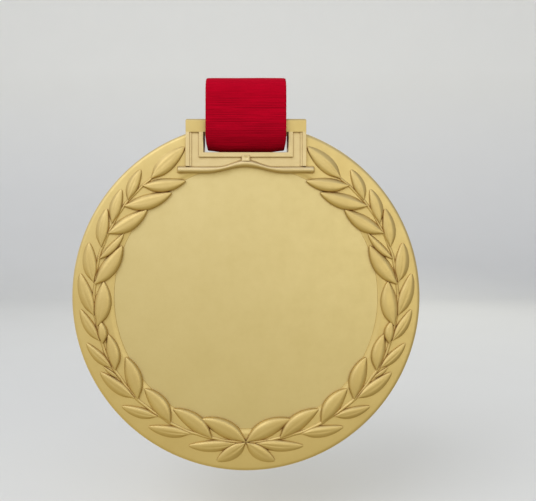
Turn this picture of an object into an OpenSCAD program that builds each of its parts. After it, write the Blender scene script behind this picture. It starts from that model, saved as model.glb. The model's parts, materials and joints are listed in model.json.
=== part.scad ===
// Award medal: a laurel wreath round a plain field, a stepped hanger let into the rim and a ribbon loop.
// The origin is the centre of the back face. The front faces -Y, and +Z is up.

/* [Medal disc] */
// Diameter of the disc
disc_d = 70; // [64:1:76]
// Thickness of the disc at the wreath band
disc_t = 4.2; // [4:0.1:4.4]
// Radius of the edge between the front and the rim
rim_round = 0.9; // [0.5:0.1:1.1]
// Radius of the edge between the back and the rim
back_round = 0.4; // [0.2:0.1:0.6]

/* [Plates] */
// Radius of the plain field plate in the front
field_r = 26.4; // [26:0.1:26.6]
// How far the edge of the field plate lies below the wreath band
field_sink = 0.3; // [0.2:0.1:0.6]
// How far the middle of the field plate rises above its edge
field_rise = 0.3; // [0.1:0.1:0.4]
// Radius of the engraving plate in the back
plate_r = 24; // [20:0.5:25]
// Thickness of the engraving plate
plate_t = 0.6; // [0.4:0.1:0.8]

/* [Laurel] */
// Radius that both stems follow in the upper half of the wreath
stem_r = 30.4; // [30.2:0.1:30.5]
// How much nearer to the middle the stems are at the foot of the wreath
foot_draw = 1.4; // [1:0.1:1.6]
// Width of a stem
stem_w = 0.8; // [0.6:0.1:1]
// Height of a stem above the band
stem_h = 0.45; // [0.3:0.05:0.6]
// Height of an inner leaf above the band
inner_rise = 0.9; // [0.6:0.05:1]
// Height of an outer leaf above the band
outer_rise = 0.75; // [0.5:0.05:0.9]

/* [Hanger] */
// Width of the hanger
hanger_w = 24; // [23:0.5:25]
// Height of the top of the hanger above the middle of the disc
hanger_top = 35.5; // [35.4:0.05:35.6]
// Thickness of the hanger from its back to its raised borders
hanger_t = 5; // [4.9:0.05:5.1]
// Height of the ribbon bar
bar_h = 2.6; // [2.5:0.05:2.7]
// Width of the ribbon slot
slot_w = 16.9; // [16.8:0.1:17.4]
// Height of the lower edge of the ribbon slot above the middle of the disc
slot_floor = 28.85; // [28.8:0.05:28.9]
// Width of the foot moulding
foot_w = 27.4; // [26:0.2:28]

/* [Ribbon] */
// Width of the ribbon, a stock size
ribbon_w = 16; // [15:0.5:16]
// Thickness of the ribbon
ribbon_t = 0.6; // [0.4:0.1:0.6]
// Outer radius of the fold that goes round the bar, and of the fold at the top
fold_r = 4; // [3.9:0.05:4]
// Height of the top of the loop above the middle of the disc
loop_top = 44.2; // [43.6:0.1:46]

/* [Hidden] */
$fn = 96;

disc_r = disc_d / 2;
gold = [0.81, 0.72, 0.48];
gold_field = [0.83, 0.74, 0.51];
gold_relief = [0.78, 0.67, 0.42];
crimson = [0.66, 0.03, 0.12];

// The seats of the two plates
fit_gap = 0.05;
seat_floor = disc_t - 1;
lip_r = field_r + 0.8;
field_edge = disc_t - field_sink;
dome_steps = 12;

// The hanger, from the slot outwards
notch_floor = 27.3;
trim_w = 0.95;
border_w = 1.15;
ledge_w = 0.4;
channel_level = disc_t + 0.4;
ledge_level = channel_level + 0.2;
post_top = hanger_top - bar_h;
foot_top = 26.1;
foot_floor = 24.8;
foot_level = disc_t + 1;
arch_rise_above = 1.35;
arch_rise_below = 1.25;
arch_reach_above = 5.5;
arch_reach_below = 8;
keystone_w = 1.9;
keystone_level = hanger_t + 0.25;
keystone_top = slot_floor - 0.55;

// The ribbon turns about the middle of its lower fold
bar_back = 0.2;
pivot_forward = (hanger_t + bar_back) / 2;
pivot_up = slot_floor + 0.35 + fold_r;
lap_length = 4.5;
lap_floor = pivot_up + 2.7;
stitch_length = 1.1;
stitch_pitch = 1.75;
stitch_r = 0.16;
stitch_columns = 8;
stitch_rows = [0.9, 3.6];

// Each leaf: angle of its base from the foot of the wreath, lean away from the stem, length and width
inner_leaves = [
    [1, 26, 9.4, 3.3],
    [14.6, 22.5, 9, 3.1],
    [32, 21, 7.9, 3.2],
    [47.6, 26.5, 8.1, 3.2],
    [61.7, 17, 6.8, 2.7],
    [73, 10, 4, 2.1],
    [80, 18, 8.4, 3.4],
    [95.7, 30, 8.9, 3.2],
    [105.4, 29, 6.6, 1.7],
    [115.7, 33.5, 8.5, 3],
    [127.6, 37, 9.3, 3],
    [138, 36, 8.1, 2.7]
];
outer_leaves = [
    [1, 35, 6.3, 2.9],
    [5, 9, 8.9, 2.4],
    [23, 15, 8, 2.4],
    [37.5, 23, 6.9, 2.2],
    [48.7, 13, 8.1, 2.5],
    [58.2, 22, 3.4, 0.9],
    [63, 20, 6.6, 2.1],
    [74.2, 17, 6.9, 2.2],
    [84, 13, 8.3, 2.8],
    [96.5, 14, 7.4, 2.9],
    [110, 12.5, 7.2, 2.6],
    [119.8, 15, 6.5, 2.5],
    [130.3, 18, 6.1, 2.4]
];
tip_leaf = [142.3, 6, 8.6, 3.2];
leaf_start = 0.3;
stem_start = 1;
stem_step = 3.5;
stem_steps = 40;

// Stands a shape that is drawn face up, with its back at z = 0, so that it faces -Y.
module stand_up() {
    rotate([90, 0, 0]) children();
}

module centred_rectangle(width, low, high) {
    translate([-width / 2, low]) square([width, high - low]);
}

// ---- Disc and plates ----

module disc_profile() {
    square([disc_r - rim_round, disc_t]);
    translate([0, back_round]) square([disc_r, disc_t - rim_round - back_round]);
    translate([disc_r - rim_round, disc_t - rim_round]) circle(rim_round);
    square([disc_r - back_round, back_round]);
    translate([disc_r - back_round, back_round]) circle(back_round);
}

module medal_disc() {
    color(gold) stand_up() difference() {
        rotate_extrude($fn = 180) disc_profile();
        translate([0, 0, seat_floor]) cylinder(r = field_r, h = disc_t, $fn = 180);
        translate([0, 0, field_edge]) cylinder(r1 = field_r, r2 = lip_r, h = field_sink, $fn = 180);
        translate([0, 0, -1]) cylinder(r = plate_r, h = 1 + plate_t, $fn = 180);
        translate([0, 0, -1]) linear_extrude(disc_t + 2) centred_rectangle(hanger_w, notch_floor, disc_r + 1);
    }
}

function dome_height(share) = field_edge + field_rise * (1 - share * share);

module centre_plate() {
    r = field_r - fit_gap;
    color(gold_field) stand_up() rotate_extrude($fn = 180) polygon([
        [0, seat_floor],
        [r, seat_floor],
        for (i = [dome_steps:-1:0]) [r * i / dome_steps, dome_height(i / dome_steps)]
    ]);
}

module engraving_plate() {
    edge_break = 0.15;
    color(gold_field) stand_up() {
        cylinder(r1 = plate_r - fit_gap - edge_break, r2 = plate_r - fit_gap, h = edge_break, $fn = 180);
        translate([0, 0, edge_break]) cylinder(r = plate_r - fit_gap, h = plate_t - edge_break, $fn = 180);
    }
}

// ---- Laurel ----

// A domed leaf along +X from the origin: the part above z = 0 of a spindle of revolution.
// A narrow leaf is lower than the rest.
module leaf(length, width, full_rise) {
    rise = min(full_rise, 0.4 * width);
    arc_r = (length * length / 4 + rise * rise) / (2 * rise);
    girth_r = (width * width / 4 + rise * rise) / (2 * rise);
    translate([length / 2, 0, 0]) intersection() {
        translate([0, 0, rise - girth_r]) rotate([0, 90, 0]) rotate_extrude($fn = 48) intersection() {
            translate([girth_r - arc_r, 0]) circle(arc_r, $fn = 240);
            translate([0, -length]) square([girth_r + 1, 2 * length]);
        }
        translate([-length, -width, 0]) cube([2 * length, 2 * width, rise + 1]);
    }
}

// Both stems draw in towards the middle in the lower half of the wreath.
function stem_radius(angle) = stem_r - foot_draw * pow(max(cos(angle), 0), 2);

// Points along the line of the left stem, at a distance outside its middle, from one step to another.
function beside_stem(distance, first, last) = [
    for (i = [first:sign(last - first):last])
        let (angle = stem_start + i * stem_step)
        (stem_radius(angle) + distance) * [-sin(angle), -cos(angle)]
];

// Everything on the left that lies inside the stem's line, moved outwards by a distance.
module within_stem(distance) {
    polygon(beside_stem(distance, -3, stem_steps + 12));
}

// Places a leaf on the left of the wreath, where side is -1 for a leaf that leans inwards and 1 for outwards.
module leaf_in_place(spec, side, rise, start = leaf_start) {
    rotate([0, 0, -90 - spec[0]]) translate([stem_radius(spec[0]) + side * start, 0, disc_t])
        rotate([0, 0, -90 + side * spec[1]]) leaf(spec[2], spec[3], rise);
}

module inner_leaves() {
    color(gold_relief) stand_up() intersection() {
        for (spec = inner_leaves) leaf_in_place(spec, -1, inner_rise);
        linear_extrude(disc_t + 2) within_stem(-stem_w / 2);
    }
}

module outer_leaves() {
    color(gold_relief) stand_up() {
        difference() {
            for (spec = outer_leaves) leaf_in_place(spec, 1, outer_rise);
            linear_extrude(disc_t + 2) within_stem(stem_w / 2);
        }
        leaf_in_place(tip_leaf, 1, outer_rise, 0);
    }
}

module laurel_stem() {
    color(gold_relief) stand_up() translate([0, 0, disc_t]) linear_extrude(stem_h) polygon(concat(
        beside_stem(stem_w / 2, 0, stem_steps),
        beside_stem(-stem_w / 2, stem_steps, 0)
    ));
}

// ---- Hanger ----

module slot_outline() {
    centred_rectangle(slot_w, slot_floor, post_top + 1);
}

// How high an ogee arch stands at x, as a share of its full rise, when it runs out at this reach.
function arch(x, reach) = (1 + cos(180 * x / reach)) / 2;

// The foot moulding is straight at its ends and arches over the field in the middle.
module foot_outline() {
    step = 0.5;
    polygon([
        [-foot_w / 2, foot_top],
        for (x = [-arch_reach_above:step:arch_reach_above])
            [x, foot_top + arch_rise_above * arch(x, arch_reach_above)],
        [foot_w / 2, foot_top],
        [foot_w / 2, foot_floor],
        for (x = [arch_reach_below:-step:-arch_reach_below])
            [x, foot_floor + arch_rise_below * arch(x, arch_reach_below)],
        [-foot_w / 2, foot_floor]
    ]);
}

// The front of the hanger below the bar, down to the foot moulding.
module front_outline() {
    difference() {
        centred_rectangle(hanger_w, foot_top, post_top);
        foot_outline();
        slot_outline();
    }
}

// The raised border down the outside of both posts.
module post_border(width) {
    intersection() {
        front_outline();
        difference() {
            centred_rectangle(hanger_w, 0, hanger_top);
            centred_rectangle(hanger_w - 2 * width, 0, hanger_top);
        }
    }
}

module hanger_frame() {
    color(gold) stand_up() {
        linear_extrude(disc_t) difference() {
            centred_rectangle(hanger_w, notch_floor, post_top);
            slot_outline();
        }
        translate([0, 0, disc_t]) linear_extrude(channel_level - disc_t) front_outline();
        translate([0, 0, channel_level]) linear_extrude(ledge_level - channel_level) post_border(border_w);
        translate([0, 0, ledge_level]) linear_extrude(hanger_t - ledge_level) post_border(border_w - ledge_w);
    }
}

// The bar that the ribbon goes round, with a front that leans forward a little and softened corners.
module hanger_bar() {
    lean = 0.2;
    soft = 0.35;
    color(gold) intersection() {
        translate([-hanger_w / 2, 0, 0]) rotate([90, 0, 90]) linear_extrude(hanger_w) polygon([
            [-bar_back - soft, post_top],
            [-hanger_t, post_top],
            [-hanger_t - lean, hanger_top - soft],
            [-hanger_t - lean + soft, hanger_top],
            [-bar_back - soft, hanger_top],
            [-bar_back, hanger_top - soft],
            [-bar_back, post_top + soft]
        ]);
        stand_up() linear_extrude(hanger_t + 1) {
            centred_rectangle(hanger_w, post_top, hanger_top - soft);
            centred_rectangle(hanger_w - 2 * soft, post_top, hanger_top);
            for (side = [-1, 1])
                translate([side * (hanger_w / 2 - soft), hanger_top - soft]) circle(soft, $fn = 32);
        }
    }
}

module hanger_slot_trim() {
    color(gold) stand_up() translate([0, 0, channel_level]) linear_extrude(hanger_t - channel_level)
        difference() {
            centred_rectangle(slot_w + 2 * trim_w, slot_floor - trim_w, post_top);
            slot_outline();
        }
}

module hanger_foot() {
    color(gold) stand_up() translate([0, 0, disc_t]) linear_extrude(foot_level - disc_t) foot_outline();
}

// A tab between the arch and the slot, which laps over the trim of the slot.
module hanger_keystone() {
    color(gold) stand_up() {
        translate([0, 0, channel_level]) linear_extrude(keystone_level - channel_level) difference() {
            centred_rectangle(keystone_w, foot_top + arch_rise_above / 2, slot_floor - trim_w);
            foot_outline();
        }
        translate([0, 0, hanger_t]) linear_extrude(keystone_level - hanger_t)
            centred_rectangle(keystone_w, slot_floor - trim_w, keystone_top);
    }
}

// ---- Ribbon ----

// The side view of a loop whose two folds have the given radius.
module loop_outline(r) {
    top_fold = loop_top - fold_r;
    translate([-r, pivot_up]) square([2 * r, top_fold - pivot_up]);
    translate([0, pivot_up]) circle(r, $fn = 96);
    translate([0, top_fold]) circle(r, $fn = 96);
}

// Extrudes a side view, with x towards the back and y upwards, across the width of the ribbon.
module across(width) {
    translate([-width / 2, -pivot_forward, 0]) rotate([90, 0, 90]) linear_extrude(width) children();
}

module ribbon() {
    color(crimson) across(ribbon_w) {
        difference() {
            loop_outline(fold_r);
            loop_outline(fold_r - ribbon_t);
        }
        translate([fold_r - 0.01, lap_floor]) square([ribbon_t - 0.09, lap_length]);
    }
}

module stitch() {
    translate([-stitch_length / 2, 0, 0]) rotate([0, 90, 0]) intersection() {
        cylinder(r = stitch_r, h = stitch_length, $fn = 24);
        translate([-1, 0, -1]) cube([2, 1, stitch_length + 2]);
    }
}

module ribbon_stitching() {
    lap_face = -pivot_forward + fold_r + ribbon_t - 0.1;
    color(crimson) for (row = stitch_rows, column = [0:stitch_columns - 1])
        translate([
            (column - (stitch_columns - 1) / 2) * stitch_pitch,
            lap_face,
            lap_floor + row
        ]) stitch();
}

medal_disc();
centre_plate();
engraving_plate();
laurel_stem();  // laurel_stem_left
mirror([1, 0, 0]) laurel_stem();  // laurel_stem_right
inner_leaves();  // inner_leaves_left
mirror([1, 0, 0]) inner_leaves();  // inner_leaves_right
outer_leaves();  // outer_leaves_left
mirror([1, 0, 0]) outer_leaves();  // outer_leaves_right
hanger_frame();
hanger_bar();
hanger_slot_trim();
hanger_foot();
hanger_keystone();
ribbon();
ribbon_stitching();
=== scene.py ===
"""Award medal: laurel wreath, stepped hanger and crimson grosgrain loop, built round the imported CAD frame."""
import json
import math
import random

import bmesh
import bpy
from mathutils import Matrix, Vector, noise

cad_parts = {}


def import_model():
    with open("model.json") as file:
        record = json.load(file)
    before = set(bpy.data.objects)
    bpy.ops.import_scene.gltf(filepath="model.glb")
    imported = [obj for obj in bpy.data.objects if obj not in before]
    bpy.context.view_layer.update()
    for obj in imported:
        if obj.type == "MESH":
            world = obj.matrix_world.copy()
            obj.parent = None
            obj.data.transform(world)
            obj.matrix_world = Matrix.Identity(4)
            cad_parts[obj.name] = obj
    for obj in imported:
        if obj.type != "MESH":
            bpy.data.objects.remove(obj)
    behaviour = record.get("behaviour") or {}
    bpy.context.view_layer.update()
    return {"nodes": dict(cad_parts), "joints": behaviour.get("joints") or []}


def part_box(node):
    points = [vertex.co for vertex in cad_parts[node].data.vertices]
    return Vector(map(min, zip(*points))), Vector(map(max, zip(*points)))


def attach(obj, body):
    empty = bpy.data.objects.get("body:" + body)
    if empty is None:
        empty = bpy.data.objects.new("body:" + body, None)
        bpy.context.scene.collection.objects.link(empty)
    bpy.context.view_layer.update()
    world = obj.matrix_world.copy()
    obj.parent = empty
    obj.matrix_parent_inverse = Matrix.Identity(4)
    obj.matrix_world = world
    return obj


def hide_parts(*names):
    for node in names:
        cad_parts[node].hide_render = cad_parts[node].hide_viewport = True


MM = 0.001

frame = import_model()

# ---- Sizes that come from the frame ----


def box_mm(node):
    """The lowest and highest corner of a CAD node, in millimetres."""
    low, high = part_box(node)
    return low / MM, high / MM


disc_low, disc_high = box_mm("medal_disc")
field_low, field_high = box_mm("centre_plate")
plate_low, plate_high = box_mm("engraving_plate")
stem_low = box_mm("laurel_stem_left")[0]
frame_low, frame_high = box_mm("hanger_frame")
bar_low = box_mm("hanger_bar")[0]
foot_low, foot_high = box_mm("hanger_foot")
keystone_low, keystone_high = box_mm("hanger_keystone")
loop_low, loop_high = box_mm("ribbon")
stitch_low, stitch_high = box_mm("ribbon_stitching")
POST_TOP = bar_low.z
joint = frame["joints"][0]
PIVOT_Y = joint["pos_m"][1] / MM
PIVOT_Z = joint["pos_m"][2] / MM

DISC_R = disc_high.x
# The wreath band: its height above the back, where it starts to fall away, and how far it falls by the rim.
BAND = -disc_low.y
BAND_FLAT_R = 28.2
BAND_FALL = 0.12
# The stems: their width, the radius of their middle, how far they draw in at the foot, and their height.
STEM_W = 0.8
STEM_R = -stem_low.x - STEM_W / 2
FOOT_DRAW = STEM_R + stem_low.z + STEM_W / 2
STEM_H = -stem_low.y - BAND
# The field: its CAD radius, the rise of its dome, the height of its edge, and what is added to the radius.
FIELD_R = field_high.x
FIELD_RISE = 0.3
FIELD_EDGE = -field_low.y - FIELD_RISE
FIELD_LAP = 0.1

# ---- The laurel ----

# Each leaf, as in the CAD: angle of its base, lean away from the stem, length and width.
INNER_LEAVES = [
    (1, 26, 9.4, 3.3),
    (14.6, 22.5, 9, 3.1),
    (32, 21, 7.9, 3.2),
    (47.6, 26.5, 8.1, 3.2),
    (61.7, 17, 6.8, 2.7),
    (73, 10, 4, 2.1),
    (80, 18, 8.4, 3.4),
    (95.7, 30, 8.9, 3.2),
    (105.4, 29, 6.6, 1.7),
    (115.7, 33.5, 8.5, 3),
    (127.6, 37, 9.3, 3),
    (138, 36, 8.1, 2.7),
]
OUTER_LEAVES = [
    (1, 35, 6.3, 2.9),
    (5, 9, 8.9, 2.4),
    (23, 15, 8, 2.4),
    (37.5, 23, 6.9, 2.2),
    (48.7, 13, 8.1, 2.5),
    (58.2, 22, 3.4, 0.9),
    (63, 20, 6.6, 2.1),
    (74.2, 17, 6.9, 2.2),
    (84, 13, 8.3, 2.8),
    (96.5, 14, 7.4, 2.9),
    (110, 12.5, 7.2, 2.6),
    (119.8, 15, 6.5, 2.5),
    (130.3, 18, 6.1, 2.4),
]
TIP_LEAF = (142.3, 6, 8.6, 3.2)
# Where a leaf starts beside the middle of the stem, how far it runs back under it, and its bend in degrees.
LEAF_START = 0.3
ROOT = 0.5
LEAF_BOW = 20
TIP_BOW = 6
# Heights above the band, and how far the hidden sides of raised pieces go down into it.
INNER_RISE = 0.84
OUTER_RISE = 0.68
SKIRT = 0.9


# ---- Mesh helpers ----


def smoothstep(low, high, x):
    """A smooth step from 0 at low to 1 at high. low may be the greater of the two."""
    t = min(max((x - low) / (high - low), 0.0), 1.0)
    return t * t * (3 - 2 * t)


def mesh_object(name, points_mm, faces, mirrored=False):
    """A smooth-shaded object from points in millimetres, mirrored in X if asked."""
    side = -1 if mirrored else 1
    mesh = bpy.data.meshes.new(name)
    mesh.from_pydata(
        [(side * x * MM, y * MM, z * MM) for x, y, z in points_mm],
        [],
        [tuple(reversed(f)) for f in faces] if mirrored else faces,
    )
    mesh.validate()
    mesh.polygons.foreach_set("use_smooth", [True] * len(mesh.polygons))
    obj = bpy.data.objects.new(name, mesh)
    bpy.context.scene.collection.objects.link(obj)
    return obj


def tube_faces(rings, around, start=0):
    """Faces of a closed tube of equal rings, with a cap on each end."""
    faces = []
    for i in range(rings - 1):
        for j in range(around):
            a = start + i * around + j
            b = start + i * around + (j + 1) % around
            faces.append((a, b, b + around, a + around))
    faces.append(tuple(start + j for j in reversed(range(around))))
    faces.append(tuple(start + (rings - 1) * around + j for j in range(around)))
    return faces


def outward(obj):
    """Turns every face of a closed piece to look outwards."""
    bm = bmesh.new()
    bm.from_mesh(obj.data)
    bmesh.ops.recalc_face_normals(bm, faces=bm.faces)
    bm.to_mesh(obj.data)
    bm.free()
    return obj


def dress(obj, body, nodes, material):
    """Gives a finished piece its material and its body, and hides the CAD nodes that it stands for."""
    obj.data.materials.clear()
    obj.data.materials.append(material)
    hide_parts(*nodes)
    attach(obj, body)


def revolve(name, profile):
    """A solid of revolution about Y from (radius, depth) points that start and end on the axis."""
    segments = 256
    points = [(0.0, -profile[0][1], 0.0)]
    for radius, depth in profile[1:-1]:
        for k in range(segments):
            angle = 2 * math.pi * k / segments
            points.append((radius * math.sin(angle), -depth, radius * math.cos(angle)))
    points.append((0.0, -profile[-1][1], 0.0))
    faces = []
    rings = len(profile) - 2
    last = len(points) - 1
    for k in range(segments):
        n = (k + 1) % segments
        faces.append((0, 1 + k, 1 + n))
        faces.append((last, 1 + (rings - 1) * segments + n, 1 + (rings - 1) * segments + k))
        for i in range(rings - 1):
            a = 1 + i * segments
            faces.append((a + k, a + segments + k, a + segments + n, a + n))
    return outward(mesh_object(name, points, faces))


def arc(centre, radius, start, end, steps):
    """Points on an arc in the (radius, depth) plane, from start to end in degrees."""
    return [
        (
            centre[0] + radius * math.cos(math.radians(start + (end - start) * i / steps)),
            centre[1] + radius * math.sin(math.radians(start + (end - start) * i / steps)),
        )
        for i in range(steps + 1)
    ]


# ---- Material helpers ----


class Nodes:
    """A small builder for the node tree of a material or of the world."""

    def __init__(self, owner):
        owner.use_nodes = True
        self.tree = owner.node_tree
        kind = "Background" if isinstance(owner, bpy.types.World) else "Principled BSDF"
        self.shader = self.tree.nodes[kind]

    def add(self, kind):
        return self.tree.nodes.new(kind)

    def link(self, source, target):
        self.tree.links.new(source, target)

    def object_coordinates(self, stretch=(1, 1, 1)):
        """Object coordinates in millimetres, stretched along each axis."""
        coordinates = self.add("ShaderNodeTexCoord")
        mapping = self.add("ShaderNodeMapping")
        mapping.inputs["Scale"].default_value = [s / MM for s in stretch]
        self.link(coordinates.outputs["Object"], mapping.inputs["Vector"])
        return mapping.outputs["Vector"]

    def noise(self, vector, scale, detail, roughness):
        node = self.add("ShaderNodeTexNoise")
        node.inputs["Scale"].default_value = scale
        node.inputs["Detail"].default_value = detail
        node.inputs["Roughness"].default_value = roughness
        self.link(vector, node.inputs["Vector"])
        return node.outputs["Fac"]

    def map_range(self, value, low, high, to_low, to_high, curve="LINEAR"):
        node = self.add("ShaderNodeMapRange")
        node.interpolation_type = curve
        for socket, number in (
            ("From Min", low),
            ("From Max", high),
            ("To Min", to_low),
            ("To Max", to_high),
        ):
            node.inputs[socket].default_value = number
        self.link(value, node.inputs["Value"])
        return node.outputs["Result"]

    def mix(self, factor, first, second):
        """A colour mix. first and second are colours or sockets."""
        node = self.add("ShaderNodeMix")
        node.data_type = "RGBA"
        self.link(factor, node.inputs["Factor"])
        for socket, value in ((node.inputs[6], first), (node.inputs[7], second)):
            if isinstance(value, bpy.types.NodeSocket):
                self.link(value, socket)
            else:
                socket.default_value = (*value, 1.0)
        return node.outputs[2]

    def math(self, operation, first, second):
        node = self.add("ShaderNodeMath")
        node.operation = operation
        for socket, value in ((node.inputs[0], first), (node.inputs[1], second)):
            if isinstance(value, bpy.types.NodeSocket):
                self.link(value, socket)
            else:
                socket.default_value = value
        return node.outputs[0]

    def bump(self, height, distance_mm, before=None):
        node = self.add("ShaderNodeBump")
        node.inputs["Strength"].default_value = 1.0
        node.inputs["Distance"].default_value = distance_mm * MM
        self.link(height, node.inputs["Height"])
        if before is not None:
            self.link(before, node.inputs["Normal"])
        return node.outputs["Normal"]


GOLD = (0.57, 0.435, 0.155)
GOLD_PALE = (0.605, 0.47, 0.175)
FIELD_GOLD = (0.585, 0.474, 0.197)
FIELD_GOLD_PALE = (0.606, 0.494, 0.212)
RELIEF_GOLD = (0.53, 0.395, 0.137)
RELIEF_GOLD_PALE = (0.565, 0.43, 0.155)
HANGER_GOLD = (0.588, 0.465, 0.210)
HANGER_GOLD_PALE = (0.618, 0.495, 0.236)
# Brown for the recesses: partly the patina of the metal, partly painted shade where the recesses fall into
# shadow.
GOLD_PATINA_AND_SHADE = (0.31, 0.145, 0.034)


def gold_material(name, light, dark, roughness, patina_and_shade_reach, patina_and_shade, grain_mm, brushed=None):
    """Satin gold plating: cloudy tone, fine cast grain, and brown in the recesses that is partly patina and
    partly painted shade.

    patina_and_shade_reach is in millimetres, stain is the share of brown (patina and painted shade) in the
    deepest recess, and grain_mm is the depth of the grain. brushed, if given, is the stretch of a second grain
    of fine lines.
    """
    material = bpy.data.materials.new(name)
    n = Nodes(material)
    vector = n.object_coordinates()
    clouds = n.noise(vector, 0.16, 4.0, 0.55)
    tone = n.mix(n.map_range(clouds, 0.3, 0.7, 0.0, 1.0), dark, light)
    # Ambient occlusion paints brown into the recesses: partly patina, partly painted shade.
    recess = n.add("ShaderNodeAmbientOcclusion")
    recess.samples = 12
    recess.inputs["Distance"].default_value = patina_and_shade_reach * MM
    patina_and_shade_tone = n.mix(n.map_range(recess.outputs["AO"], 0.35, 0.85, patina_and_shade, 0.0), tone, GOLD_PATINA_AND_SHADE)
    n.link(patina_and_shade_tone, n.shader.inputs["Base Color"])
    n.shader.inputs["Metallic"].default_value = 1.0
    fine = n.noise(vector, 9.0, 5.0, 0.65)
    patches = n.noise(vector, 0.5, 3.0, 0.5)
    wear = n.math("ADD", n.map_range(patches, 0.3, 0.7, -0.035, 0.035), roughness)
    wear = n.math("ADD", wear, n.map_range(fine, 0.3, 0.7, -0.03, 0.03))
    n.link(wear, n.shader.inputs["Roughness"])
    normal = n.bump(fine, grain_mm)
    normal = n.bump(n.noise(vector, 1.1, 2.0, 0.5), grain_mm * 2.5, normal)
    if brushed:
        lines = n.noise(n.object_coordinates(brushed), 1.0, 4.0, 0.6)
        normal = n.bump(lines, grain_mm * 1.5, normal)
    n.link(normal, n.shader.inputs["Normal"])
    return material


CLOTH_BRIGHT = (0.40, 0.0004, 0.011)
CLOTH_DEEP = (0.315, 0.0003, 0.008)
# The red of the painted shade in the rib hollows and at the lower fold.
CLOTH_SHADE = (0.15, 0.0002, 0.004)


def ribbon_material():
    """Crimson grosgrain: satin ribs with painted shade between them and at the lower fold, and fine warp
    threads.
    """
    material = bpy.data.materials.new("crimson_grosgrain")
    n = Nodes(material)
    uv = n.add("ShaderNodeUVMap")
    uv.uv_map = "weave"

    def woven(stretch, detail, roughness):
        """Noise in millimetres across and along the strip, stretched into threads."""
        mapping = n.add("ShaderNodeMapping")
        mapping.inputs["Scale"].default_value = stretch
        n.link(uv.outputs["UV"], mapping.inputs["Vector"])
        return n.noise(mapping.outputs["Vector"], 1.0, detail, roughness)

    warp = woven((9.0, 0.35, 1.0), 2.0, 0.5)
    streaks = woven((0.22, 5.0, 1.0), 3.0, 0.6)
    rib = n.add("ShaderNodeAttribute")
    rib.attribute_name = "rib"
    tone = n.mix(n.map_range(streaks, 0.35, 0.65, 0.0, 1.0), CLOTH_DEEP, CLOTH_BRIGHT)
    # Painted shade: the red darkens where the rib attribute is low, in the hollows between the ribs and towards
    # the lower fold.
    hollow_shade = n.map_range(rib.outputs["Fac"], 0.0, 0.7, 0.55, 0.0)
    n.link(n.mix(hollow_shade, tone, CLOTH_SHADE), n.shader.inputs["Base Color"])
    n.shader.inputs["Roughness"].default_value = 0.85
    n.shader.inputs["Specular IOR Level"].default_value = 0.03
    n.link(n.bump(streaks, 0.02, n.bump(warp, 0.012)), n.shader.inputs["Normal"])
    return material


def thread_material():
    """Twisted thread: slanting light and dark bands."""
    material = bpy.data.materials.new("crimson_thread")
    n = Nodes(material)
    twist = n.add("ShaderNodeTexWave")
    twist.wave_type = "BANDS"
    twist.bands_direction = "DIAGONAL"
    twist.inputs["Scale"].default_value = 2.2
    twist.inputs["Distortion"].default_value = 0.4
    n.link(n.object_coordinates(), twist.inputs["Vector"])
    tone = n.mix(twist.outputs["Fac"], (0.25, 0.001, 0.006), (0.5, 0.006, 0.022))
    n.link(tone, n.shader.inputs["Base Color"])
    n.shader.inputs["Roughness"].default_value = 0.5
    n.link(n.bump(twist.outputs["Fac"], 0.02), n.shader.inputs["Normal"])
    return material


def floor_material():
    """Pale paper, warm to balance the cool dome: darker near the medal, paler up the wall and in front."""
    material = bpy.data.materials.new("pale_paper")
    n = Nodes(material)
    mottle = n.noise(n.object_coordinates((0.02, 0.02, 0.02)), 1.0, 3.0, 0.5)
    place = n.add("ShaderNodeSeparateXYZ")
    n.link(n.object_coordinates(), place.inputs["Vector"])
    floor = n.mix(mottle, (0.60, 0.585, 0.47), (0.62, 0.605, 0.49))
    wall = n.mix(mottle, (0.84, 0.82, 0.68), (0.86, 0.84, 0.70))
    far = n.math(
        "MAXIMUM",
        n.map_range(place.outputs["Z"], -50, 330, 0.0, 1.0),
        n.map_range(place.outputs["Y"], -300, -1200, 0.0, 1.0),
    )
    n.link(n.mix(far, floor, wall), n.shader.inputs["Base Color"])
    n.shader.inputs["Roughness"].default_value = 0.9
    return material


# Each gold gets brown in its recesses, partly patina and partly painted shade.
satin_gold = gold_material(
    "satin_gold", GOLD_PALE, GOLD, roughness=0.58, patina_and_shade_reach=0.45, patina_and_shade=0.6, grain_mm=0.006
)
field_gold = gold_material(
    "field_gold", FIELD_GOLD_PALE, FIELD_GOLD, roughness=0.58, patina_and_shade_reach=0.5, patina_and_shade=0.2, grain_mm=0.004
)
relief_gold = gold_material(
    "relief_gold", RELIEF_GOLD_PALE, RELIEF_GOLD, roughness=0.57, patina_and_shade_reach=0.7, patina_and_shade=0.8, grain_mm=0.008
)
hanger_gold = gold_material(
    "hanger_gold", HANGER_GOLD_PALE, HANGER_GOLD, roughness=0.58, patina_and_shade_reach=0.45, patina_and_shade=0.6, grain_mm=0.006
)
# The bar uses the darker gold of the disc rather than the paler hanger gold: painted shade on the bar.
bar_painted_shade_gold = gold_material(
    "bar_painted_shade_gold", GOLD_PALE, GOLD, roughness=0.58, patina_and_shade_reach=0.45, patina_and_shade=0.6, grain_mm=0.006
)
brushed_gold = gold_material(
    "brushed_gold", GOLD_PALE, GOLD, roughness=0.38, patina_and_shade_reach=0.7, patina_and_shade=0.6, grain_mm=0.004,
    brushed=(0.12, 1.0, 14.0),
)
grosgrain = ribbon_material()
thread = thread_material()

# ---- Disc and plates ----


def band_depth(radius):
    """Height of the wreath band above the back: it falls away a little towards the rim."""
    share = max(radius - BAND_FLAT_R, 0.0) / (DISC_R - BAND_FLAT_R)
    return BAND - BAND_FALL * share * share


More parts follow.
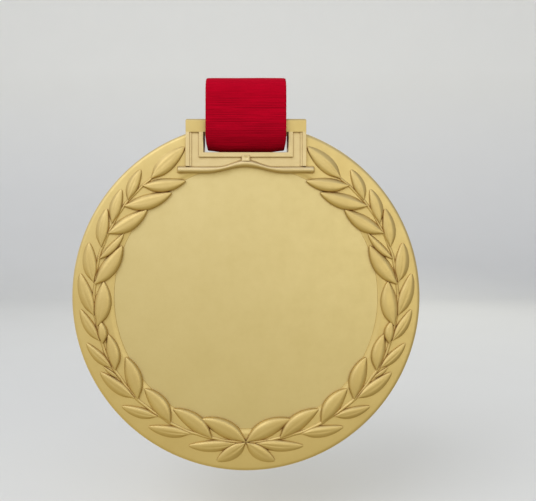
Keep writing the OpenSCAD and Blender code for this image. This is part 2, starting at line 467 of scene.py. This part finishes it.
def medal_disc():
    """The disc, with seats for both plates, soft edges and the notch for the hanger."""
    rim_round = 0.9
    back_round = 0.4
    seat_round = 0.1
    seat_gap = 0.06
    seat_r = plate_high.x + seat_gap
    seat_depth = -plate_low.y
    field_seat = -field_high.y
    rim_top = band_depth(DISC_R - rim_round)
    # The lip slopes from the band down to the field, and ends in a small step.
    lip_in = FIELD_R + FIELD_LAP
    lip_out = 27.5
    lip_slope_steps = 8
    lip_step = 0.08
    step_in = lip_in - 0.04
    notch_floor = frame_high.z - 5.7
    cutter_margin = 1
    profile = [(0, seat_depth), (seat_r, seat_depth)]
    profile += arc((seat_r + seat_round, seat_round), seat_round, 180, 270, 3)
    profile += arc((DISC_R - back_round, back_round), back_round, 270, 360, 6)
    profile += arc((DISC_R - rim_round, rim_top - rim_round), rim_round, 0, 90, 10)
    profile += [(r, band_depth(r)) for r in (33.2, 32.0, 30.5, 29.0, BAND_FLAT_R)]
    for k in range(lip_slope_steps, -1, -1):
        share = k / lip_slope_steps
        profile.append((
            lip_in + (lip_out - lip_in) * share,
            FIELD_EDGE + lip_step + (BAND - FIELD_EDGE - lip_step) * smoothstep(0, 1, share),
        ))
    profile += [(step_in, FIELD_EDGE), (step_in, field_seat), (0, field_seat)]
    disc = revolve("medal_disc_struck", profile)
    cutter = mesh_object(
        "notch",
        [
            (x * frame_high.x, y, z)
            for z in (notch_floor, DISC_R + cutter_margin)
            for y in (-BAND - cutter_margin, cutter_margin)
            for x in (-1, 1)
        ],
        [(0, 1, 3, 2), (4, 6, 7, 5), (0, 4, 5, 1), (2, 3, 7, 6), (0, 2, 6, 4), (1, 5, 7, 3)],
    )
    outward(cutter)
    cut = disc.modifiers.new("notch", "BOOLEAN")
    cut.operation = "DIFFERENCE"
    cut.solver = "EXACT"
    cut.object = cutter
    bake_modifiers(disc)
    bpy.data.objects.remove(cutter)
    mark_sharp(disc, 40)
    dress(disc, "medal", ["medal_disc"], satin_gold)


def bake_modifiers(obj):
    """Replaces the object's mesh by what its modifiers make of it."""
    graph = bpy.context.evaluated_depsgraph_get()
    mesh = bpy.data.meshes.new_from_object(obj.evaluated_get(graph))
    obj.modifiers.clear()
    old = obj.data
    obj.data = mesh
    bpy.data.meshes.remove(old)


def mark_sharp(obj, degrees):
    """Smooth shading everywhere, except across edges that bend more than this."""
    mesh = obj.data
    mesh.polygons.foreach_set("use_smooth", [True] * len(mesh.polygons))
    mesh.set_sharp_from_angle(angle=math.radians(degrees))


def centre_plate():
    """The plain field, a shallow dome that meets the lip of its seat."""
    radius = FIELD_R + FIELD_LAP
    steps = 40
    dome = [
        (radius * i / steps, FIELD_EDGE + FIELD_RISE * (1 - (i / steps) ** 2))
        for i in range(steps, -1, -1)
    ]
    profile = [(0, -field_high.y), (radius, -field_high.y)] + dome
    plate = revolve("centre_plate_field", profile)
    mark_sharp(plate, 40)
    dress(plate, "medal", ["centre_plate"], field_gold)


def engraving_plate():
    """The plate in the back, flush with it and with a broken edge."""
    radius = plate_high.x
    depth = -plate_low.y
    edge_break = 0.12
    profile = [
        (0, 0),
        (radius - edge_break, 0),
        (radius - 0.03, 0.04),
        (radius, edge_break),
        (radius, depth),
        (0, depth),
    ]
    plate = revolve("engraving_plate_brushed", profile)
    mark_sharp(plate, 50)
    dress(plate, "medal", ["engraving_plate"], brushed_gold)


# ---- Laurel ----


def stem_radius(angle):
    """The stems draw in towards the middle in the lower half of the wreath."""
    return STEM_R - FOOT_DRAW * max(math.cos(math.radians(angle)), 0.0) ** 2


def wreath_point(angle, radius):
    """X and Z on the left branch, at this angle in degrees from the foot of the wreath."""
    a = math.radians(angle)
    return Vector((-radius * math.sin(a), -radius * math.cos(a)))


def leaf_section(u, t, rib, soft):
    """Height of a leaf across its width, from its soft edge at u = -1 to its steep one at u = 1.

    t runs from the base of the leaf to its tip, rib is the depth of the groove along the midrib, and soft
    is the power that shapes the soft edge.
    """
    crest = 0.16
    groove_width = 0.12
    if u > crest:
        body = (1 - ((u - crest) / (1 - crest)) ** 3.2) ** 0.6
    else:
        body = (1 - ((crest - u) / (1 + crest)) ** 2.8) ** soft
    groove = rib * math.exp(-((u / groove_width) ** 2)) * smoothstep(0.02, 0.2, t) * smoothstep(0.95, 0.5, t)
    return body * (1 - groove)


def leaf_points(spec, side, rise, start, bow, rib, rng):
    """Cross-sections of one leaf, each a closed loop of points, from its base to its tip.

    side is -1 for an inner leaf and 1 for an outer one.
    """
    sink = 0.04
    streak_count = 13
    steps = 36
    half = 12
    blunt = 0.16 if side < 0 else 0.28
    soft = 0.9 if side < 0 else 1.5
    angle, lean, length, width = spec
    rise = min(rise, 0.4 * width)
    a = math.radians(angle)
    along = Vector((-math.cos(a), math.sin(a)))
    away = Vector((-math.sin(a), -math.cos(a))) * side
    lean = math.radians(lean)
    heading = along * math.cos(lean) + away * math.sin(lean)
    lateral = away * math.cos(lean) - along * math.sin(lean)
    bend = math.radians(bow + rng.uniform(-3, 3))
    phase = rng.uniform(0, 2 * math.pi)
    point = wreath_point(angle, stem_radius(angle) + side * start) - heading * ROOT
    length += ROOT
    before = 0.0
    rings = []
    for i in range(steps + 1):
        t = 0.5 - 0.5 * math.cos(math.pi * i / steps)
        turn = bend * (0.5 - t)
        tangent = heading * math.cos(turn) + lateral * math.sin(turn)
        normal = lateral * math.cos(turn) - heading * math.sin(turn)
        point = point + tangent * length * (t - before)
        before = t
        # plump shapes the width along the leaf, and crown the height along its midrib.
        plump = math.sin(math.pi * (0.012 + 0.976 * t) ** 0.93)
        spread = 0.53 * width * plump ** (0.86 - blunt * t) * (0.82 + 0.18 * smoothstep(0.0, 0.25, t))
        crown = math.sin(math.pi * (0.05 + 0.91 * t) ** 0.75) ** 0.45
        ring = []
        for k in range(-half, half + 1):
            s = math.sin(0.5 * math.pi * k / half)
            streak = 0.35 * rib * math.sin(streak_count * s + phase) * smoothstep(0.8, 0.1, t) * (1 - s * s)
            place = point + normal * (spread * s)
            height = rise * crown * (leaf_section(-side * s, t, rib, soft) + streak) - sink
            ring.append((place.x, -band_depth(place.length) - height, place.y))
        for s in (1, -1):
            place = point + normal * (spread * s)
            ring.append((place.x, -BAND + SKIRT, place.y))
        rings.append(ring)
    return rings


def leaves(name, specs, side, rise, mirrored, node, seed, tip=None):
    """All the leaves on one side of one stem, as one piece of separate closed leaves."""
    rng = random.Random(seed)
    rib = 0.04 if side < 0 else 0.12
    points = []
    faces = []
    jobs = [(spec, LEAF_START, LEAF_BOW) for spec in specs]
    if tip:
        jobs.append((tip, 0, TIP_BOW))
    for spec, start, bow in jobs:
        rings = leaf_points(spec, side, rise, start, bow, rib, rng)
        around = len(rings[0])
        faces += tube_faces(len(rings), around, len(points))
        for ring in rings:
            points += ring
    piece = outward(mesh_object(name, points, faces, mirrored))
    dress(piece, "medal", [node], relief_gold)


def laurel_stem(name, mirrored, node):
    """One twig: a half-round bead that thins towards its tip and swells where leaves join it."""
    first_angle = 0.4
    last_angle = 143.0
    joint_angle = 1.3
    sink = 0.07
    steps = 220
    half = 6
    joints = [spec[0] for spec in INNER_LEAVES + OUTER_LEAVES]
    rings = []
    for i in range(steps + 1):
        angle = first_angle + (last_angle - first_angle) * i / steps
        share = i / steps
        swell = min(sum(math.exp(-(((angle - j) / joint_angle) ** 2)) for j in joints), 1.0)
        taper = smoothstep(0.0, 0.01, share) * smoothstep(1.0, 0.985, share)
        half_width = (0.4 - 0.08 * share) * (1 + 0.12 * swell) * (0.15 + 0.85 * taper)
        rise = (STEM_H - 0.15 - 0.06 * share) * (1 + 0.1 * swell) * (0.3 + 0.7 * taper)
        radius = stem_radius(angle) + 0.07 * math.sin(angle * 0.31) + 0.04 * math.sin(angle * 0.83 + 1)
        ring = []
        for k in range(-half, half + 1):
            s = math.sin(0.5 * math.pi * k / half)
            place = wreath_point(angle, radius + half_width * s)
            ring.append((place.x, -BAND - rise * max(1 - s * s, 0.0) ** 0.9 + sink, place.y))
        for s in (1, -1):
            place = wreath_point(angle, radius + half_width * s)
            ring.append((place.x, -BAND + SKIRT, place.y))
        rings.append(ring)
    points = [p for ring in rings for p in ring]
    piece = outward(mesh_object(name, points, tube_faces(len(rings), len(rings[0])), mirrored))
    dress(piece, "medal", [node], relief_gold)


def laurel():
    """Both branches. The right one mirrors the left, with its own small accidents."""
    for mirrored, hand in ((False, "left"), (True, "right")):
        laurel_stem(f"laurel_twig_{hand}", mirrored, f"laurel_stem_{hand}")
        leaves(
            f"laurel_inner_{hand}", INNER_LEAVES, side=-1, rise=INNER_RISE, mirrored=mirrored,
            node=f"inner_leaves_{hand}", seed=7 + mirrored,
        )
        leaves(
            f"laurel_outer_{hand}", OUTER_LEAVES, side=1, rise=OUTER_RISE, mirrored=mirrored,
            node=f"outer_leaves_{hand}", seed=21 + mirrored, tip=TIP_LEAF,
        )


# ---- Hanger ----


def rounded_copy(node, name):
    """A copy of a CAD node's mesh with its edges rounded, apart from those where the bar meets the posts."""
    edge_round = 0.1
    mesh = frame["nodes"][node].data.copy()
    mesh.name = name
    bm = bmesh.new()
    bm.from_mesh(mesh)
    bmesh.ops.remove_doubles(bm, verts=bm.verts, dist=1e-6)
    bmesh.ops.dissolve_limit(bm, angle_limit=math.radians(1.0), verts=bm.verts, edges=bm.edges)
    edges = [
        edge for edge in bm.edges
        if edge.is_manifold
        and edge.calc_face_angle() > math.radians(20)
        and not all(abs(vert.co.z / MM - POST_TOP) < 0.01 for vert in edge.verts)
    ]
    bmesh.ops.bevel(
        bm, geom=edges, offset=edge_round * MM, offset_type="OFFSET", segments=3,
        profile=0.5, affect="EDGES", clamp_overlap=True,
    )
    bmesh.ops.recalc_face_normals(bm, faces=bm.faces)
    bm.to_mesh(mesh)
    bm.free()
    if "custom_normal" in mesh.attributes:
        mesh.attributes.remove(mesh.attributes["custom_normal"])
    obj = bpy.data.objects.new(name, mesh)
    bpy.context.scene.collection.objects.link(obj)
    mark_sharp(obj, 50)
    # Keeps the faces between the rounded edges flat to the eye.
    modifier = obj.modifiers.new("normals", "WEIGHTED_NORMAL")
    modifier.keep_sharp = True
    modifier.weight = 80
    return obj


def arch(x, reach):
    """How high an ogee arch stands at x, as a share of its full rise, when it runs out at this reach."""
    return (1 + math.cos(math.pi * min(abs(x), reach) / reach)) / 2


def foot_section(s):
    """Height of the foot moulding across its width: steep below, and sloped above, towards the hanger."""
    if s < -0.1:
        return (1 - ((-0.1 - s) / 0.9) ** 2.8) ** 0.6
    return 1 - 0.62 * ((s + 0.1) / 1.1) ** 2.2


def foot_moulding():
    """The moulding under the hanger: straight at its ends, with an ogee arch over the field."""
    half_w = foot_high.x
    rise_above = foot_high.z - frame_low.z
    rise_below = rise_above - 0.1
    reach_above = 5.5
    reach_below = 8
    end_round = 0.22
    steps = 137
    half = 9
    rings = []
    for i in range(steps + 1):
        x = -half_w + 2 * half_w * i / steps
        end = min(half_w - abs(x), end_round) / end_round
        end = math.sqrt(max(1 - (1 - end) ** 2, 0.0))
        low = foot_low.z + rise_below * arch(x, reach_below)
        high = frame_low.z + rise_above * arch(x, reach_above)
        middle = (low + high) / 2
        half_h = (high - low) / 2 * (0.8 + 0.2 * end) + 0.04
        rise = (-foot_low.y - BAND) * (0.2 + 0.8 * end)
        ring = []
        for k in range(-half, half + 1):
            s = math.sin(0.5 * math.pi * k / half)
            ring.append((x, -BAND - rise * foot_section(s), middle + half_h * s))
        ring.append((x, -BAND + SKIRT, high))
        ring.append((x, -BAND + SKIRT, low))
        rings.append(ring)
    points = [p for ring in rings for p in ring]
    piece = outward(mesh_object("hanger_foot_moulding", points, tube_faces(len(rings), len(rings[0]))))
    dress(piece, "medal", ["hanger_foot"], hanger_gold)


def keystone_boss():
    """The tab between the arch and the slot: it laps over the trim, and has a shallow dimple."""
    lap = 0.25
    dimple_depth = 0.1
    low = keystone_low.z - lap
    high = keystone_high.z
    full = -keystone_low.y - BAND
    steps = 24
    half = 10
    rings = []
    for i in range(steps + 1):
        t = i / steps
        end = smoothstep(0.0, 0.12, 1 - t) ** 0.5
        half_w = keystone_high.x * (0.86 + 0.14 * end) * (1 - 0.05 * math.sin(math.pi * t))
        ring = []
        for k in range(-half, half + 1):
            s = math.sin(0.5 * math.pi * k / half)
            dimple = dimple_depth * math.exp(-((s / 0.45) ** 2) - (((t - 0.5) / 0.2) ** 2))
            level = (full - dimple) * (0.6 + 0.4 * end) * (1 - 0.3 * abs(s) ** 5)
            ring.append((half_w * s, -BAND - level, low + (high - low) * t))
        for s in (1, -1):
            ring.append((half_w * s, -BAND + SKIRT, low + (high - low) * t))
        rings.append(ring)
    points = [p for ring in rings for p in ring]
    piece = outward(mesh_object("hanger_keystone_tab", points, tube_faces(len(rings), len(rings[0]))))
    mark_sharp(piece, 60)
    dress(piece, "medal", ["hanger_keystone"], hanger_gold)


def hanger():
    """The whole hanger. Its bar is painted a little darker than the rest, as painted shade."""
    casts = (
        ("hanger_frame", hanger_gold),
        ("hanger_bar", bar_painted_shade_gold),
        ("hanger_slot_trim", hanger_gold),
    )
    for node, gold in casts:
        dress(rounded_copy(node, f"{node}_cast"), "medal", [node], gold)
    foot_moulding()
    keystone_boss()


# ---- Ribbon ----

RIBBON_W = loop_high.x - loop_low.x
# The outer radius of both folds, and the height of the centre of the upper one.
FOLD_OUT = PIVOT_Y - loop_low.y
TOP_FOLD = loop_high.z - FOLD_OUT
# The thickness of the cloth, and the radius of its middle in the folds.
PLY = 0.46
MID_R = FOLD_OUT - 0.06 - PLY / 2
# The lap: how far its outer ply stands out, and the heights where the outer and the inner ply end.
LAP_STEP = 0.5
LAP_END = PIVOT_Z + 2.7
INNER_END = TOP_FOLD - 0.5
RIB_PITCH = 0.45


def ribbon_path():
    """Points (y, z) and outward normals along the middle of the strip, from its inner to its outer end."""
    step = 0.075
    path = []
    z = INNER_END
    while z > PIVOT_Z:
        path.append((MID_R, z, 1.0, 0.0))
        z -= step
    turn = math.ceil(math.pi * MID_R / step)
    for i in range(turn + 1):
        a = math.pi * i / turn
        path.append((MID_R * math.cos(a), PIVOT_Z - MID_R * math.sin(a), math.cos(a), -math.sin(a)))
    z = PIVOT_Z + step
    while z < TOP_FOLD:
        path.append((-MID_R, z, -1.0, 0.0))
        z += step
    for i in range(turn + 1):
        a = math.pi * i / turn
        path.append((-MID_R * math.cos(a), TOP_FOLD + MID_R * math.sin(a), -math.cos(a), math.sin(a)))
    z = TOP_FOLD - step
    while z > LAP_END:
        path.append((MID_R, z, 1.0, 0.0))
        z -= step
    return path


def ribbon_loop():
    """The strip with its ribs, its selvedges and its sewn lap."""
    path = ribbon_path()
    columns = 56
    edge_gap = 0.05
    rib_rise = 0.042
    selvedge_rise = 0.03
    travelled = 0.0
    before = path[0][:2]
    count = len(path)
    points = []
    rib_shades = []
    weave = []
    for i, (y, z, ny, nz) in enumerate(path):
        travelled += math.dist(before, (y, z))
        before = (y, z)
        share = i / (count - 1)
        outer_lap = smoothstep(0.80, 0.90, share)
        low_fold = math.exp(-(((z - (PIVOT_Z - FOLD_OUT)) / 1.3) ** 2))
        top_fold = math.exp(-(((z - loop_high.z) / 1.2) ** 2))
        # The ribs are shallow on the upper fold and full below it. The cloth is painted darker towards the
        # lower fold, as painted shade.
        relief = 0.2 + 0.8 * smoothstep(loop_high.z - 1.5, loop_high.z - 7, z)
        painted_shade_low = 0.6 * smoothstep(PIVOT_Z + 3.5, PIVOT_Z - 2, z)
        outer = []
        inner = []
        painted_shades = []
        places = []
        for k in range(columns + 1):
            u = -1 + 2 * k / columns
            edge = abs(u)
            fray = noise.noise(Vector((3.1 * (u > 0), travelled * 2.2, 0.0)))
            half_w = RIBBON_W / 2 - edge_gap - 0.22 * low_fold - 0.06 * top_fold + 0.03 * fray
            ripple = noise.noise(Vector((u * 1.4, travelled * 0.16, 4.0)))
            strength = 0.55 + 0.9 * noise.noise(Vector((u * 1.1, travelled * 1.5, 9.0)))
            ribbed = relief * min(max(strength, 0.1), 1.0)
            drift = 0.5 * noise.noise(Vector((u * 0.3, travelled * 0.35, 2.0)))
            rib = 0.5 + 0.5 * math.cos(2 * math.pi * (travelled / RIB_PITCH + drift))
            selvedge = smoothstep(0.93, 0.985, edge)
            rib_height = rib_rise * ribbed * (1 - 0.6 * selvedge)
            cup = 0.35 * low_fold * smoothstep(0.6, 1.0, edge) + 0.05 * top_fold * smoothstep(0.85, 1.0, edge)
            lift = 0.03 * ripple - cup + LAP_STEP * outer_lap
            out = lift + PLY / 2 + rib_height * (rib - 1) + selvedge_rise * selvedge
            inn = lift - PLY / 2 - rib_height * (rib - 1) - selvedge_rise * selvedge
            if edge > 0.995:
                out = lift + 0.6 * PLY / 2
                inn = lift - 0.6 * PLY / 2
            x = u * half_w
            outer.append((x, PIVOT_Y + y + ny * out, z + nz * out))
            inner.append((x, PIVOT_Y + y + ny * inn, z + nz * inn))
            # The rib attribute holds painted shade: low in the hollows between the ribs, and lower still
            # towards the lower fold.
            painted_shades.append(1 - 1.3 * (1 - rib) * ribbed - painted_shade_low)
            places.append((x, travelled))
        points += outer + inner[::-1]
        rib_shades += painted_shades + painted_shades[::-1]
        weave += places + places[::-1]
    around = 2 * (columns + 1)
    piece = mesh_object("ribbon_grosgrain", points, tube_faces(count, around))
    attribute = piece.data.attributes.new("rib", "FLOAT", "POINT")
    attribute.data.foreach_set("value", rib_shades)
    layer = piece.data.uv_layers.new(name="weave")
    for loop in piece.data.loops:
        layer.data[loop.index].uv = weave[loop.vertex_index]
    outward(piece)
    dress(piece, "ribbon_loop", ["ribbon"], grosgrain)
    return piece, travelled


def stitch_points(centre, face, length, radius):
    """One thread stitch: a capsule along X that dips into the cloth at both ends."""
    x0, y0, z0 = centre
    steps = 12
    around = 10
    rings = []
    for i in range(steps + 1):
        t = -1 + 2 * i / steps
        r = radius * max(1 - abs(t) ** 4, 0.02) ** 0.5
        sink = 0.16 * abs(t) ** 2.5
        ring = []
        for j in range(around):
            a = 2 * math.pi * j / around
            ring.append((
                x0 + t * length / 2,
                y0 + face * (0.6 * radius - sink) + 0.8 * r * math.cos(a),
                z0 + r * math.sin(a),
            ))
        rings.append(ring)
    return rings


def stitching():
    """Two rows of stitches that close the loop, seen on both faces of the lap."""
    length = 1.15
    radius = 0.15
    columns = 8
    pitch = (stitch_high.x - stitch_low.x - 1.1) / (columns - 1)
    rows = (stitch_low.z + 0.16, stitch_high.z - 0.16)
    outer = PIVOT_Y + MID_R + LAP_STEP + PLY / 2
    inner = PIVOT_Y + MID_R - PLY / 2
    rng = random.Random(5)
    points = []
    faces = []
    for row in rows:
        for k in range(columns):
            x = (k - (columns - 1) / 2) * pitch
            for y, face, shift in ((outer, 1, 0.0), (inner, -1, pitch / 2)):
                if face < 0 and k == columns - 1:
                    continue
                centre = (x + shift + rng.uniform(-0.05, 0.05), y, row + rng.uniform(-0.04, 0.04))
                rings = stitch_points(centre, face, length, radius)
                faces += tube_faces(len(rings), len(rings[0]), len(points))
                for ring in rings:
                    points += ring
    piece = outward(mesh_object("ribbon_thread", points, faces))
    dress(piece, "ribbon_loop", ["ribbon_stitching"], thread)
    return piece


# ---- Stage, lights and camera ----


def stage():
    """A pale sweep: a floor that curves up into a wall behind the medal."""
    floor_z = disc_low.z - 14
    front = -6000
    back = 900
    width = 9000
    wall_height = 1800
    bend = 350
    bend_steps = 24
    profile = [(front, floor_z), (back - bend, floor_z)]
    for i in range(1, bend_steps + 1):
        a = math.pi / 2 * i / bend_steps
        profile.append((back - bend + bend * math.sin(a), floor_z + bend * (1 - math.cos(a))))
    profile.append((back, floor_z + wall_height))
    points = [(x, y, z) for y, z in profile for x in (-width / 2, width / 2)]
    faces = [(2 * i, 2 * i + 1, 2 * i + 3, 2 * i + 2) for i in range(len(profile) - 1)]
    sweep = mesh_object("studio_floor", points, faces)
    sweep.data.materials.append(floor_material())
    sweep.visible_glossy = False


def area_light(name, place, size, watts, colour=(1, 1, 1)):
    """A soft box at place, in metres, that looks at the middle of the disc."""
    data = bpy.data.lights.new(name, "AREA")
    data.shape = "DISK"
    data.size = size
    data.energy = watts
    data.color = colour
    light = bpy.data.objects.new(name, data)
    light.location = place
    light.rotation_euler = (-Vector(place)).to_track_quat("-Z", "Y").to_euler()
    bpy.context.scene.collection.objects.link(light)
    light.visible_camera = False


DOME_WARM = (1.06, 0.98, 0.72)
DOME_COOL = (0.90, 0.96, 1.32)


def world():
    """A soft studio dome: brighter overhead and on the left, cool above and warm below."""
    data = bpy.data.worlds.new("studio")
    bpy.context.scene.world = data
    n = Nodes(data)
    coordinates = n.add("ShaderNodeTexCoord")
    direction = n.add("ShaderNodeSeparateXYZ")
    n.link(coordinates.outputs["Generated"], direction.inputs["Vector"])
    overhead = n.map_range(direction.outputs["Z"], -1.0, 1.0, 0.80, 1.05, "SMOOTHSTEP")
    sideways = n.map_range(direction.outputs["X"], -0.9, 0.9, 1.06, 0.60)
    n.link(n.math("MULTIPLY", overhead, sideways), n.shader.inputs["Strength"])
    lift = n.map_range(direction.outputs["Z"], -0.4, 0.5, 0.0, 1.0)
    n.link(n.mix(lift, DOME_WARM, DOME_COOL), n.shader.inputs["Color"])


def camera():
    """A level camera in front of the disc. A small shift puts the medal left of the middle."""
    data = bpy.data.cameras.new("camera")
    data.sensor_width = 36.0
    data.lens = 38.86
    data.shift_x = 0.0412
    data.clip_start = 0.01
    data.clip_end = 20
    obj = bpy.data.objects.new("camera", data)
    obj.location = (0.0, -0.120, 0.0093)
    obj.rotation_euler = (math.pi / 2, 0, 0)
    bpy.context.scene.collection.objects.link(obj)
    bpy.context.scene.camera = obj


camera()
stage()
world()
area_light("key", (-0.30, -0.45, 0.42), size=0.45, watts=1.95, colour=(0.94, 0.97, 1.2))
area_light("fill", (0.30, -0.55, 0.12), size=0.45, watts=1.1)
area_light("back", (0.15, 0.5, 0.35), size=0.40, watts=0.8)

medal_disc()
centre_plate()
engraving_plate()
laurel()
hanger()
ribbon_piece, strip_length = ribbon_loop()
thread_piece = stitching()

bpy.context.scene.view_settings.view_transform = "Standard"
